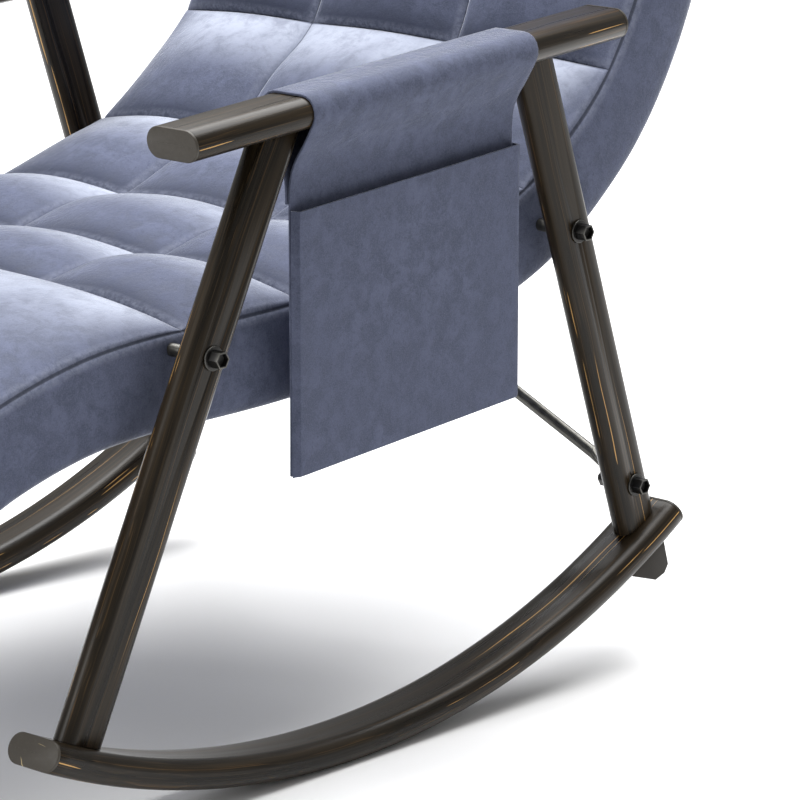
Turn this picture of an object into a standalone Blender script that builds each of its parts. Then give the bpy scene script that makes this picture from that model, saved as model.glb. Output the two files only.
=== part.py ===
# Rocking lounge chair: two side frames of flat oval tube on curved rockers, a long padded
# seat-and-back cushion on a hidden frame of shaped boards, crossed stays behind, and a
# fabric organiser that hangs on the sitter's left armrest.
# Metres, +Z up. The sitter faces -Y and the sitter's left side is +X.
import math

import bmesh
import bpy
import numpy as np
from mathutils import Vector

# ---- sizes that drive the chair -------------------------------------------------------
FRAME_SPACING = 0.600          # between the middles of the two side frames
RAIL_WIDTH, RAIL_HEIGHT = 0.056, 0.026    # flat oval of armrests and rockers, lying flat
LEG_WIDTH, LEG_THICK = 0.044, 0.024       # flat oval of the legs, standing on edge
TUBE_WALL = 0.0018
CAP_THICK, CAP_PLUG, CAP_ROUND = 0.0027, 0.010, 0.0007    # plate, plug and edge of an end cap
FIT = 0.0003                   # air between pieces that touch

ROCKER_RADIUS = 0.823          # of the tube's centre line
ROCKER_FRONT_DEG, ROCKER_REAR_DEG = -24.65, 31.1
ROCKER_SPANS = 21
# Tip stop, seen from the side: along the tail from its end, and down from the rocker's underside.
STOP_OUTLINE = [(-0.0668, -0.0167), (-0.0153, -0.0207), (-0.0214, 0.0106), (-0.0265, 0.0298),
                (-0.0347, 0.0336), (-0.0474, 0.0306), (-0.0697, 0.0055)]
STOP_HALF_WIDTH = 0.013

ARM_FRONT_Y, ARM_FRONT_Z = -0.184, 0.545
ARM_REAR_Y, ARM_REAR_Z = 0.3405, 0.5825

FRONT_LEG_TOP_Y, FRONT_LEG_FOOT_Y = -0.0627, -0.3027
REAR_LEG_TOP_Y, REAR_LEG_FOOT_Y = 0.2384, 0.3936

FRONT_BOLT_Z, REAR_BOLT_Z, STAY_BOLT_Z = 0.371, 0.406, 0.164
BOLT_RADIUS, BOLT_FLAT = 0.004, 0.013
FLANGE_RADIUS, FLANGE_THICK, HEAD_HEIGHT = 0.0102, 0.0018, 0.0115
BOLT_PAST_BOARD, BOLT_PAST_NUT, NUT_THICK = 0.008, 0.0035, 0.0095
SLEEVE_RADIUS = 0.0056         # spacers between the legs and the cushion's boards
SCREW_RADIUS = 0.003           # the smaller screws and bolt of the stays

CUSHION_HALF = 0.265           # half width
CUSHION_DEPTH = 0.083          # from the edge seam to the underside
CROWN = 0.034                  # rise of the padding above the edge seam
BOARD_THICK = 0.018
BOARD_OUTER = 0.232            # outer face of each side board from the middle
WEB_LEVEL = -0.035             # webbing below the edge seam
COVER_THICK = 0.003
COVER_SPANS = 32
END = 0.045                    # padding left whole at the lip and at the head
INSERT_RADIUS = 0.005          # threaded barrels set in the boards
NUT_POCKET = 0.0125            # radius of the room for each insert nut

STAY_RADIUS = 0.0055
TAB_HALF_WIDTH, TAB_THICK = 0.009, 0.003
STAY_HEAD_Y = 0.357            # where the stays are screwed under the seat boards
PASS = 0.0020                  # each stay stands this far off the crossing's middle

ORGANISER_FRONT_Y, ORGANISER_REAR_Y = -0.053, 0.219
CLOTH = 0.003
HANG_X = 0.0005                # hanging panel's middle, out from the armrest's middle
POCKET_TOP, ORGANISER_FOOT = -0.081, -0.302   # below the armrest's middle
POCKET_STAND_OFF = 0.0065      # room inside the pocket

# Edge seam of the cushion's left and right sides, from the front lip to the head (y, z).
SEAM = [(-0.428, 0.312), (-0.385, 0.337), (-0.338, 0.355), (-0.285, 0.3695), (-0.231, 0.379),
        (-0.165, 0.383), (-0.090, 0.3825), (-0.019, 0.3835), (0.060, 0.388), (0.140, 0.398),
        (0.210, 0.413), (0.276, 0.436), (0.320, 0.461), (0.352, 0.486), (0.382, 0.514),
        (0.406, 0.546), (0.430, 0.587), (0.453, 0.640), (0.478, 0.700), (0.510, 0.778),
        (0.544, 0.858), (0.578, 0.936), (0.598, 0.980)]

SIDE = FRAME_SPACING / 2
ARM_SLOPE = (ARM_REAR_Z - ARM_FRONT_Z) / (ARM_REAR_Y - ARM_FRONT_Y)
AXIS_X = Vector((1, 0, 0))
AXIS_Y = Vector((0, 1, 0))
SIDES = (("left", 1), ("right", -1))

for old in list(bpy.data.objects):
    bpy.data.objects.remove(old, do_unlink=True)


def material(name, colour, roughness, metallic=0.0):
    mat = bpy.data.materials.new(name)
    mat.use_nodes = True
    shader = mat.node_tree.nodes["Principled BSDF"]
    shader.inputs["Base Color"].default_value = (*colour, 1)
    shader.inputs["Roughness"].default_value = roughness
    shader.inputs["Metallic"].default_value = metallic
    mat.diffuse_color = (*colour, 1)
    return mat


STEEL_GRAIN = material("grained_tube", (0.035, 0.027, 0.020), 0.34, 0.25)
CAP = material("end_cap", (0.150, 0.132, 0.108), 0.45, 0.3)
BLACK_STEEL = material("black_steel", (0.020, 0.020, 0.019), 0.40, 0.8)
ZINC = material("zinc", (0.55, 0.56, 0.56), 0.35, 1.0)
VELVET = material("velvet", (0.185, 0.215, 0.330), 0.85)
BOARD = material("beech_board", (0.560, 0.400, 0.240), 0.65)
WEBBING = material("webbing", (0.060, 0.058, 0.055), 0.80)
RUBBER = material("rubber", (0.025, 0.023, 0.020), 0.75)


def solid(name, verts, faces, mat, smooth=True):
    """One closed body with its faces turned outwards."""
    mesh = bpy.data.meshes.new(name)
    mesh.from_pydata([tuple(v) for v in verts], [], faces)
    bm = bmesh.new()
    bm.from_mesh(mesh)
    bmesh.ops.recalc_face_normals(bm, faces=bm.faces)
    bm.to_mesh(mesh)
    bm.free()
    obj = bpy.data.objects.new(name, mesh)
    bpy.context.scene.collection.objects.link(obj)
    mesh.materials.append(mat)
    if smooth:
        round_off(obj)
    return obj


def round_off(obj, degrees=35):
    bpy.context.view_layer.objects.active = obj
    obj.select_set(True)
    bpy.ops.object.shade_smooth_by_angle(angle=math.radians(degrees))
    obj.select_set(False)


def skin(rings, first=0, closed=True):
    """Quads between neighbouring rings, and a flat face over each end if closed."""
    count = len(rings[0])
    faces = []
    for i in range(len(rings) - 1):
        a, b = first + i * count, first + (i + 1) * count
        faces += [(a + j, a + (j + 1) % count, b + (j + 1) % count, b + j) for j in range(count)]
    if closed:
        faces.append(tuple(range(first, first + count)))
        faces.append(tuple(range(first + (len(rings) - 1) * count, first + len(rings) * count)))
    return faces


def loft(name, rings, mat, smooth=True):
    return solid(name, [p for ring in rings for p in ring], skin(rings), mat, smooth)


def pipe(name, outer, inner, mat):
    """A tube open at both ends, from matching outer and inner rings."""
    count, length = len(outer[0]), len(outer)
    first = count * length
    faces = skin(outer, 0, False) + skin(inner, first, False)
    for end in (0, (length - 1) * count):
        faces += [(end + j, end + (j + 1) % count, first + end + (j + 1) % count,
                   first + end + j) for j in range(count)]
    return solid(name, [p for ring in outer + inner for p in ring], faces, mat)


def flat_oval(width, height, steps=8):
    """Stadium outline, long side first."""
    radius, half = height / 2, (width - height) / 2
    ends = []
    for side, start in ((1, -90), (-1, 90)):
        for i in range(steps + 1):
            a = math.radians(start + 180 * i / steps)
            ends.append((side * half + radius * math.cos(a), radius * math.sin(a)))
    return ends


def ring(centre, across, up, outline):
    return [centre + across * a + up * b for a, b in outline]


def round_outline(radius, steps=16):
    return [(radius * math.cos(2 * math.pi * i / steps), radius * math.sin(2 * math.pi * i / steps))
            for i in range(steps)]


def hexagon(flat, per_side=1):
    """Six-sided outline, with each side split so that it can follow a round one."""
    corners = round_outline(flat / math.sqrt(3), 6)
    return [tuple(a + (b - a) * i / per_side for a, b in zip(here, after))
            for here, after in zip(corners, corners[1:] + corners[:1]) for i in range(per_side)]


def turned(name, base, axis, across, profile, mat):
    """Stack of outlines along an axis: profile lists (distance, outline)."""
    up = axis.cross(across)
    return loft(name, [ring(base + axis * d, across, up, outline) for d, outline in profile], mat)


def cut(obj, *cutters):
    """Take the cutters out of a piece, then throw them away."""
    bpy.context.view_layer.objects.active = obj
    for cutter in cutters:
        step = obj.modifiers.new("cut", "BOOLEAN")
        step.operation, step.solver, step.object = "DIFFERENCE", "EXACT", cutter
        bpy.ops.object.modifier_apply(modifier=step.name)
        bpy.data.objects.remove(cutter, do_unlink=True)
    round_off(obj)
    return obj


def rod(start, end, radius, steps=16):
    """Plain round cutter between two points."""
    start, end = Vector(start), Vector(end)
    axis = (end - start).normalized()
    across = axis.orthogonal().normalized()
    up = axis.cross(across)
    outline = round_outline(radius, steps)
    return loft("cutter", [ring(p, across, up, outline) for p in (start, end)], RUBBER, False)


# ---- lines of the side frame -----------------------------------------------------------
def arm_z(y):
    return ARM_FRONT_Z + (y - ARM_FRONT_Y) * ARM_SLOPE


def rocker_point(x, degrees):
    """Centre line, direction along it and direction square to it."""
    a = math.radians(degrees)
    along = Vector((0, math.cos(a), math.sin(a)))
    inward = Vector((0, -math.sin(a), math.cos(a)))
    centre = Vector((x, 0, ROCKER_RADIUS + RAIL_HEIGHT / 2)) - inward * ROCKER_RADIUS
    return centre, along, inward


def rocker_rings(x, grow, over_deg=0.0):
    outline = flat_oval(RAIL_WIDTH + 2 * grow, RAIL_HEIGHT + 2 * grow)
    rings = []
    for i in range(ROCKER_SPANS + 1):
        share = i / ROCKER_SPANS
        low, high = ROCKER_FRONT_DEG + CAP_DEG - over_deg, ROCKER_REAR_DEG - CAP_DEG + over_deg
        centre, along, inward = rocker_point(x, low + (high - low) * share)
        rings.append(ring(centre, AXIS_X, inward, outline))
    return rings


CAP_DEG = math.degrees(CAP_THICK / ROCKER_RADIUS)
ARM_ALONG = Vector((0, 1, ARM_SLOPE)).normalized()
ARM_UP = AXIS_X.cross(ARM_ALONG)


def arm_rings(x, grow, over=0.0):
    outline = flat_oval(RAIL_WIDTH + 2 * grow, RAIL_HEIGHT + 2 * grow)
    ends = [Vector((x, ARM_FRONT_Y, ARM_FRONT_Z)) + ARM_ALONG * (CAP_THICK - over),
            Vector((x, ARM_REAR_Y, ARM_REAR_Z)) - ARM_ALONG * (CAP_THICK - over)]
    return [ring(p, AXIS_X, ARM_UP, outline) for p in ends]


def rocker_z(y):
    return ROCKER_RADIUS + RAIL_HEIGHT / 2 - math.sqrt(ROCKER_RADIUS ** 2 - y * y)


def leg_line(x, top_y, foot_y):
    return Vector((x, foot_y, rocker_z(foot_y))), Vector((x, top_y, arm_z(top_y)))


def on_leg(x, top_y, foot_y, z):
    foot, top = leg_line(x, top_y, foot_y)
    return foot + (top - foot) * ((z - foot.z) / (top.z - foot.z))


LEGS = {"front": (FRONT_LEG_TOP_Y, FRONT_LEG_FOOT_Y), "rear": (REAR_LEG_TOP_Y, REAR_LEG_FOOT_Y)}
BOLT_HEIGHTS = {"front": [FRONT_BOLT_Z], "rear": [REAR_BOLT_Z, STAY_BOLT_Z]}
CUSHION_BOLTS = {place: on_leg(0, *LEGS[place], BOLT_HEIGHTS[place][0]) for place in LEGS}


# ---- side frames: rockers, armrests, legs, end caps, tip stops -------------------------
def end_cap(name, centre, outward):
    """Moulded cap: a plug inside the tube and a plate over its end."""
    up = AXIS_X.cross(outward)
    inner = flat_oval(RAIL_WIDTH - 2 * TUBE_WALL - 2 * FIT, RAIL_HEIGHT - 2 * TUBE_WALL - 2 * FIT)
    plate = flat_oval(RAIL_WIDTH, RAIL_HEIGHT)
    edge = flat_oval(RAIL_WIDTH - 2 * CAP_ROUND, RAIL_HEIGHT - 2 * CAP_ROUND)
    steps = [(-CAP_PLUG, inner), (FIT, inner), (FIT, plate), (CAP_THICK - CAP_ROUND, plate),
             (CAP_THICK, edge)]
    return loft(name, [ring(centre + outward * d, AXIS_X, up, o) for d, o in steps], CAP)


for side, sign in SIDES:
    x = sign * SIDE
    pipe("rocker_" + side, rocker_rings(x, 0), rocker_rings(x, -TUBE_WALL), STEEL_GRAIN)
    pipe("armrest_" + side, arm_rings(x, 0), arm_rings(x, -TUBE_WALL), STEEL_GRAIN)
    centre, along, inward = rocker_point(x, ROCKER_FRONT_DEG + CAP_DEG)
    end_cap("rocker_front_cap_" + side, centre, -along)
    centre, along, inward = rocker_point(x, ROCKER_REAR_DEG - CAP_DEG)
    end_cap("rocker_rear_cap_" + side, centre, along)
    front = Vector((x, ARM_FRONT_Y, ARM_FRONT_Z)) + ARM_ALONG * CAP_THICK
    rear = Vector((x, ARM_REAR_Y, ARM_REAR_Z)) - ARM_ALONG * CAP_THICK
    end_cap("armrest_front_cap_" + side, front, -ARM_ALONG)
    end_cap("armrest_rear_cap_" + side, rear, ARM_ALONG)

    for place, (top_y, foot_y) in LEGS.items():
        foot, top = leg_line(x, top_y, foot_y)
        along = (top - foot).normalized()
        across = AXIS_X.cross(along)
        outer = flat_oval(LEG_WIDTH, LEG_THICK)
        inner = flat_oval(LEG_WIDTH - 2 * TUBE_WALL, LEG_THICK - 2 * TUBE_WALL)
        leg = pipe(place + "_leg_" + side, [ring(p, across, AXIS_X, outer) for p in (foot, top)],
                   [ring(p, across, AXIS_X, inner) for p in (foot, top)], STEEL_GRAIN)
        cutters = [loft("cutter", arm_rings(x, FIT, 0.02), RUBBER, False),
                   loft("cutter", rocker_rings(x, FIT, 1.0), RUBBER, False)]
        for z in BOLT_HEIGHTS[place]:
            spot = on_leg(x, top_y, foot_y, z)
            cutters.append(rod(spot - AXIS_X * 0.02, spot + AXIS_X * 0.02, BOLT_RADIUS + FIT))
        cut(leg, *cutters)

    # Wedge under the rocker's tail that meets the floor when the chair leans far back.
    tail, along, inward = rocker_point(x, ROCKER_REAR_DEG)
    wedge = [tail + along * a - inward * (RAIL_HEIGHT / 2 + b) for a, b in STOP_OUTLINE]
    stop = loft("tip_stop_" + side,
                [[p + AXIS_X * dx for p in wedge] for dx in (-STOP_HALF_WIDTH, STOP_HALF_WIDTH)], RUBBER)
    cut(stop, loft("cutter", rocker_rings(x, FIT, 3.0), RUBBER, False))


# ---- the cushion's long curve ----------------------------------------------------------
def smooth_line(points, per_span=12):
    """Catmull-Rom curve through the points."""
    p = np.array(points)
    p = np.vstack([2 * p[0] - p[1], p, 2 * p[-1] - p[-2]])
    t = np.linspace(0, 1, per_span, endpoint=False)[:, None]
    rows = []
    for a, b, c, d in zip(p, p[1:], p[2:], p[3:]):
        rows.append(0.5 * (2 * b + (c - a) * t + (2 * a - 5 * b + 4 * c - d) * t ** 2
                           + (3 * b - a - 3 * c + d) * t ** 3))
    return np.vstack(rows + [p[-2:-1]])


LINE = smooth_line(SEAM)
REACH = np.concatenate([[0], np.cumsum(np.hypot(*np.diff(LINE, axis=0).T))])
LENGTH = float(REACH[-1])


def seam_frame(s):
    """Point on the edge seam at distance s from the front, with its directions."""
    step = 0.02
    here = [float(np.interp(s, REACH, LINE[:, k])) for k in (0, 1)]
    near = [np.interp(max(s - step, 0), REACH, LINE[:, k]) for k in (0, 1)]
    far = [np.interp(min(s + step, LENGTH), REACH, LINE[:, k]) for k in (0, 1)]
    along = Vector((0, far[0] - near[0], far[1] - near[1])).normalized()
    return Vector((0, *here)), along, AXIS_X.cross(along)


def sweep(name, outline, start, end, count, mat, smooth=True, shape=None):
    """Carry an (x, height) outline along the seam curve."""
    rings = []
    for i in range(count + 1):
        s = start + (end - start) * i / count
        centre, along, up = seam_frame(s)
        points = shape(outline, i, count) if shape else outline
        rings.append(ring(centre, AXIS_X, up, points))
    return loft(name, rings, mat, smooth)


def box_outline(x0, x1, low, high):
    return [(x0, low), (x1, low), (x1, high), (x0, high)]


def cushion_shape(outline, i, count):
    """Round the lip at the front and the head end."""
    gap = min(i, count - i)
    tuck = {0: 0.60, 1: 0.90}.get(gap, 1.0)
    middle = (CROWN - CUSHION_DEPTH) / 2
    return [(a * (0.97 + 0.03 * tuck), middle + (b - middle) * tuck) for a, b in outline]


HALF = [(0.252, -CUSHION_DEPTH), (0.2615, -0.0785), (CUSHION_HALF, -0.070), (CUSHION_HALF, -0.006),
        (0.2625, 0.002), (0.248, 0.0125), (0.215, 0.0220), (0.150, 0.0290), (0.070, 0.0330)]
CUSHION_OUTLINE = HALF + [(0, CROWN)] + [(-a, b) for a, b in reversed(HALF)]
BOARD_INNER = BOARD_OUTER - BOARD_THICK
BOARD_TOP, BOARD_FOOT = 0.0035, -CUSHION_DEPTH + COVER_THICK + FIT
hollow_half, channel = BOARD_OUTER + FIT, BOARD_INNER - FIT
HOLLOW = [(-hollow_half, -0.095), (hollow_half, -0.095), (hollow_half, BOARD_TOP + FIT),
          (channel, BOARD_TOP + FIT), (channel, WEB_LEVEL), (-channel, WEB_LEVEL),
          (-channel, BOARD_TOP + FIT), (-hollow_half, BOARD_TOP + FIT)]

cushion = sweep("lounge_cushion", CUSHION_OUTLINE, 0, LENGTH, 36, VELVET, shape=cushion_shape)
cushion_cutters = [sweep("cutter", HOLLOW, END, LENGTH - END, 32, RUBBER, False)]

for _, sign in SIDES:
    out = AXIS_X * sign
    for spot in CUSHION_BOLTS.values():
        cushion_cutters.append(rod(spot + out * (BOARD_OUTER - 0.0005), spot + out * (CUSHION_HALF + 0.01),
                                   SLEEVE_RADIUS + FIT))
        cushion_cutters.append(rod(spot + out * (BOARD_INNER - 0.014), spot + out * (BOARD_INNER + 0.0005),
                                   NUT_POCKET))
cut(cushion, *cushion_cutters)


# Where each stay is screwed up into the far side board: the middle of one flat of the cover.


def underside(i):
    centre, _, up = seam_frame(END + (LENGTH - 2 * END) * i / COVER_SPANS)
    return centre - up * CUSHION_DEPTH


flats = [(underside(i), underside(i + 1)) for i in range(COVER_SPANS)]
near, far = min(flats, key=lambda f: abs((f[0].y + f[1].y) / 2 - STAY_HEAD_Y))
rise = AXIS_X.cross((far - near).normalized())
seat = (near + far) / 2 + rise * CUSHION_DEPTH
BOARD_MIDDLE = (BOARD_OUTER + BOARD_INNER) / 2

cover = sweep("under_cover",
              box_outline(-BOARD_OUTER, BOARD_OUTER, -CUSHION_DEPTH, -CUSHION_DEPTH + COVER_THICK),
              END + FIT, LENGTH - END - FIT, COVER_SPANS, VELVET)
for side, sign in SIDES:
    board = sweep("side_board_" + side, box_outline(*sorted((sign * BOARD_INNER, sign * BOARD_OUTER)),
                                                    BOARD_FOOT, BOARD_TOP),
                  END + 2 * FIT, LENGTH - END - 2 * FIT, COVER_SPANS, BOARD)
    out = AXIS_X * sign
    holes = [rod(spot + out * (BOARD_INNER - 0.01), spot + out * (BOARD_OUTER + 0.01), INSERT_RADIUS + FIT)
             for spot in CUSHION_BOLTS.values()]
    foot = seat + AXIS_X * sign * BOARD_MIDDLE
    holes.append(rod(foot - rise * 0.095, foot - rise * 0.042, SCREW_RADIUS + FIT))
    cut(board, *holes)
    cut(cover, rod(foot - rise * 0.095, foot - rise * 0.070, SCREW_RADIUS + FIT))

# Cross rails and webbing between the side boards.
for name, s in (("cross_rail_front", 0.085), ("cross_rail_middle", 0.650),
                ("cross_rail_top", LENGTH - 0.085)):
    centre, along, up = seam_frame(s)
    section = box_outline(-0.010, 0.010, -0.077, WEB_LEVEL - 0.005)
    loft(name, [ring(centre + AXIS_X * dx, along, up, section) for dx in (-channel, channel)], BOARD)
for index, s in enumerate((0.19, 0.31, 0.43, 0.55, 0.84, 0.97, 1.10)):
    sweep("web_strap_%d" % (index + 1),
          box_outline(-channel, channel, WEB_LEVEL - 0.0025, WEB_LEVEL - 0.0005),
          s - 0.025, s + 0.025, 3, WEBBING)


# ---- bolts, spacers and nuts -----------------------------------------------------------
def flange_bolt(name, face, sign, length):
    """Hexagon head with a round flange on the leg's outer face, pointing inwards."""
    axis = AXIS_X * sign
    shank, flange = round_outline(BOLT_RADIUS), round_outline(FLANGE_RADIUS, 20)
    body = turned(name, face, axis, AXIS_Y,
                  [(-length, shank), (FIT, shank)], BLACK_STEEL)
    collar = turned("flange", face, axis, AXIS_Y,
                    [(FIT, flange), (FIT + FLANGE_THICK * 0.6, flange),
                     (FIT + FLANGE_THICK, round_outline(FLANGE_RADIUS - 0.0008, 20))], BLACK_STEEL)
    head = turned("head", face, axis, AXIS_Y,
                  [(FIT, hexagon(BOLT_FLAT)), (FIT + HEAD_HEIGHT - 0.0008, hexagon(BOLT_FLAT)),
                   (FIT + HEAD_HEIGHT, hexagon(BOLT_FLAT - 0.0018))], BLACK_STEEL)
    bpy.context.view_layer.objects.active = body
    for extra in (collar, head):
        step = body.modifiers.new("join", "BOOLEAN")
        step.operation, step.solver, step.object = "UNION", "EXACT", extra
        bpy.ops.object.modifier_apply(modifier=step.name)
        bpy.data.objects.remove(extra, do_unlink=True)
    socket = turned("cutter", face, axis, AXIS_Y,
                    [(FIT + HEAD_HEIGHT - 0.004, hexagon(0.006)), (FIT + HEAD_HEIGHT + 0.001, hexagon(0.006))],
                    RUBBER)
    return cut(body, socket)


def bored(name, base, axis, profile, bore, mat):
    """Turned piece with a round hole right through it."""
    piece = turned(name, base, axis, AXIS_Y, profile, mat)
    low, high = profile[0][0], profile[-1][0]
    return cut(piece, rod(base + axis * (low - 0.002), base + axis * (high + 0.002), bore))


LEG_FACE = LEG_THICK / 2
for side, sign in SIDES:
    out = AXIS_X * sign
    for place, spot in CUSHION_BOLTS.items():
        flange_bolt("%s_bolt_%s" % (place, side), spot + out * (SIDE + LEG_FACE), sign,
                    SIDE + LEG_FACE - BOARD_INNER + BOLT_PAST_BOARD)
        sleeve = round_outline(SLEEVE_RADIUS)
        bored("%s_spacer_%s" % (place, side), spot, out,
              [(BOARD_OUTER + FIT, sleeve), (SIDE - LEG_FACE - FIT, sleeve)],
              BOLT_RADIUS + FIT, BLACK_STEEL)
        flange, barrel = round_outline(NUT_POCKET - 0.0025), round_outline(INSERT_RADIUS)
        bored("%s_insert_nut_%s" % (place, side), spot, out,
              [(BOARD_INNER - FIT - 0.002, flange), (BOARD_INNER - FIT, flange),
               (BOARD_INNER - FIT, barrel), (BOARD_INNER + 0.010, barrel)], BOLT_RADIUS + FIT, ZINC)
    spot = on_leg(0, *LEGS["rear"], STAY_BOLT_Z)
    flange_bolt("stay_bolt_" + side, spot + out * (SIDE + LEG_FACE), sign,
                LEG_THICK + TAB_THICK + NUT_THICK + BOLT_PAST_NUT)
    inner = SIDE - LEG_FACE - TAB_THICK - 2 * FIT
    bored("stay_nut_" + side, spot, -out,
          [(-inner, round_outline(0.0088, 18)), (-inner + 0.002, round_outline(0.0088, 18)),
           (-inner + 0.002, hexagon(BOLT_FLAT, 3)), (-inner + NUT_THICK, hexagon(BOLT_FLAT, 3))],
          BOLT_RADIUS + FIT, BLACK_STEEL)


# ---- crossed stays between the rear legs and the seat boards ---------------------------
def stay_outline(half_wide, half_thin, steps=16):
    """Circle when both halves match, rounded strap when one is thin."""
    points = []
    for i in range(steps):
        a = 2 * math.pi * i / steps
        c, s = math.cos(a), math.sin(a)
        power = 1.0 if half_wide == half_thin else 0.55
        points.append((half_wide * math.copysign(abs(c) ** power, c),
                       half_thin * math.copysign(abs(s) ** power, s)))
    return points


leg_foot, leg_top = leg_line(0, *LEGS["rear"])
leg_along = (leg_top - leg_foot).normalized()
low_hole = on_leg(0, *LEGS["rear"], STAY_BOLT_Z) + AXIS_X * (SIDE - LEG_FACE - FIT - TAB_THICK / 2)
high_hole = seat - AXIS_X * BOARD_MIDDLE - rise * (CUSHION_DEPTH + FIT + TAB_THICK / 2)
low_bend = low_hole + leg_along * 0.015
toward = (low_bend - high_hole).normalized()
level = (toward - rise * toward.dot(rise)).normalized()
high_bend = high_hole + level * 0.016
bar = (high_bend - low_bend).normalized()
bar_up = (AXIS_X - bar * bar.x).normalized()
bar_side = bar.cross(bar_up)
cross = low_bend + bar * ((0 - low_bend.x) / bar.x)
through = Vector((0, bar.z, -bar.y)).normalized()
tab = stay_outline(TAB_HALF_WIDTH, TAB_THICK / 2)
tube = stay_outline(STAY_RADIUS, STAY_RADIUS)
pinch = stay_outline(TAB_THICK / 2, 0.0080)
low_side, high_side = leg_along.cross(AXIS_X), (-level).cross(rise)


def stay(name, sign):
    shift = through * (PASS * sign)
    stations = [(low_hole - leg_along * 0.010, low_side, AXIS_X, tab),
                (low_hole + leg_along * 0.008, low_side, AXIS_X, tab),
                (low_bend, low_side, AXIS_X, tab),
                (low_bend + bar * 0.020, bar_side, bar_up, tube),
                (cross - bar * 0.030 + shift, bar_side, bar_up, tube),
                (cross - bar * 0.016 + shift, bar_side, bar_up, pinch),
                (cross + bar * 0.016 + shift, bar_side, bar_up, pinch),
                (cross + bar * 0.030 + shift, bar_side, bar_up, tube),
                (high_bend - bar * 0.020, bar_side, bar_up, tube),
                (high_bend, high_side, rise, tab),
                (high_hole + level * 0.008, high_side, rise, tab),
                (high_hole - level * 0.010, high_side, rise, tab)]
    rings = [[Vector((p.x * sign, p.y, p.z)) for p in ring(c, a, b, o)] for c, a, b, o in stations]
    piece = loft(name, rings, BLACK_STEEL)
    low, high = (Vector((p.x * sign, p.y, p.z)) for p in (low_hole, high_hole))
    return cut(piece, rod(low - AXIS_X * 0.01, low + AXIS_X * 0.01, BOLT_RADIUS + FIT),
               rod(high - rise * 0.01, high + rise * 0.01, SCREW_RADIUS + FIT),
               rod(cross - through * 0.02, cross + through * 0.02, SCREW_RADIUS + FIT))


for side, sign in SIDES:
    stay("stay_" + side, sign)
    head = seat - AXIS_X * sign * BOARD_MIDDLE
    depth = CUSHION_DEPTH + 2 * FIT + TAB_THICK
    turned("stay_screw_" + side, head, -rise, AXIS_X,
           [(0.045, round_outline(SCREW_RADIUS, 12)), (depth, round_outline(SCREW_RADIUS, 12)),
            (depth, hexagon(0.010, 2)), (depth + 0.004, hexagon(0.010, 2))], BLACK_STEEL)
half_pack = PASS + TAB_THICK / 2 + FIT
turned("crossing_bolt", cross, through, AXIS_X,
       [(-half_pack - 0.007, round_outline(SCREW_RADIUS, 12)), (half_pack, round_outline(SCREW_RADIUS, 12)),
        (half_pack, hexagon(0.010, 2)), (half_pack + 0.004, hexagon(0.010, 2))], BLACK_STEEL)
nut = turned("crossing_nut", cross, -through, AXIS_X,
             [(half_pack, hexagon(0.010)), (half_pack + 0.005, hexagon(0.010))], BLACK_STEEL)
cut(nut, rod(cross - through * 0.02, cross + through * 0.02, SCREW_RADIUS + FIT))


# ---- organiser on the left armrest -----------------------------------------------------
def hung(points, y):
    """Lift an (out, drop) outline to the armrest's slope at y."""
    return [Vector((SIDE + a, y, arm_z(y) + b)) for a, b in points]


wrap = RAIL_HEIGHT / 2 + 2 * FIT + CLOTH / 2
flat = (RAIL_WIDTH - RAIL_HEIGHT) / 2
outer_side = [(flat + wrap * math.cos(math.radians(a)), wrap * math.sin(math.radians(a)))
              for a in range(90, -31, -15)]
outer_side += [(0.0165, -0.0260), (0.0080, -0.0385), (0.0030, -0.0500), (HANG_X + 0.0003, -0.0620),
               (HANG_X, -0.0760)]
inner_side = [(-a - 0.0028 * min(1, max(0, -b - 0.012) / 0.03), b) for a, b in outer_side]
path = [Vector(p) for p in reversed(inner_side)] + [Vector(p) for p in outer_side] \
    + [Vector((HANG_X, ORGANISER_FOOT))]
left_edge, right_edge = [], []
for i, p in enumerate(path):
    ahead, behind = path[min(i + 1, len(path) - 1)], path[max(i - 1, 0)]
    step = (ahead - behind).normalized()
    side_step = Vector((-step.y, step.x)) * (CLOTH / 2)
    left_edge.append(p + side_step)
    right_edge.append(p - side_step)
drape = left_edge + right_edge[::-1]
loft("organiser_drape", [hung(drape, y) for y in (ORGANISER_FRONT_Y, ORGANISER_REAR_Y)], VELVET)

back = HANG_X + CLOTH / 2 + FIT
face = back + POCKET_STAND_OFF + CLOTH
block = box_outline(back, face, ORGANISER_FOOT, POCKET_TOP)
room = box_outline(back - 0.01, face - CLOTH, ORGANISER_FOOT + CLOTH, POCKET_TOP + 0.05)
pocket = loft("organiser_pocket", [hung(block, y) for y in (ORGANISER_FRONT_Y, ORGANISER_REAR_Y)], VELVET)
cut(pocket, loft("cutter", [hung(room, y) for y in (ORGANISER_FRONT_Y + CLOTH, ORGANISER_REAR_Y - CLOTH)],
                 RUBBER, False))

# ---- stand the chair on the floor, over the middle of its footprint --------------------
points = np.array([v.co for o in bpy.data.objects for v in o.data.vertices])
low, high = points.min(axis=0), points.max(axis=0)
shift = Vector((0, -(low[1] + high[1]) / 2, -low[2]))
for obj in bpy.data.objects:
    for v in obj.data.vertices:
        v.co += shift
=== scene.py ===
import math

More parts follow.
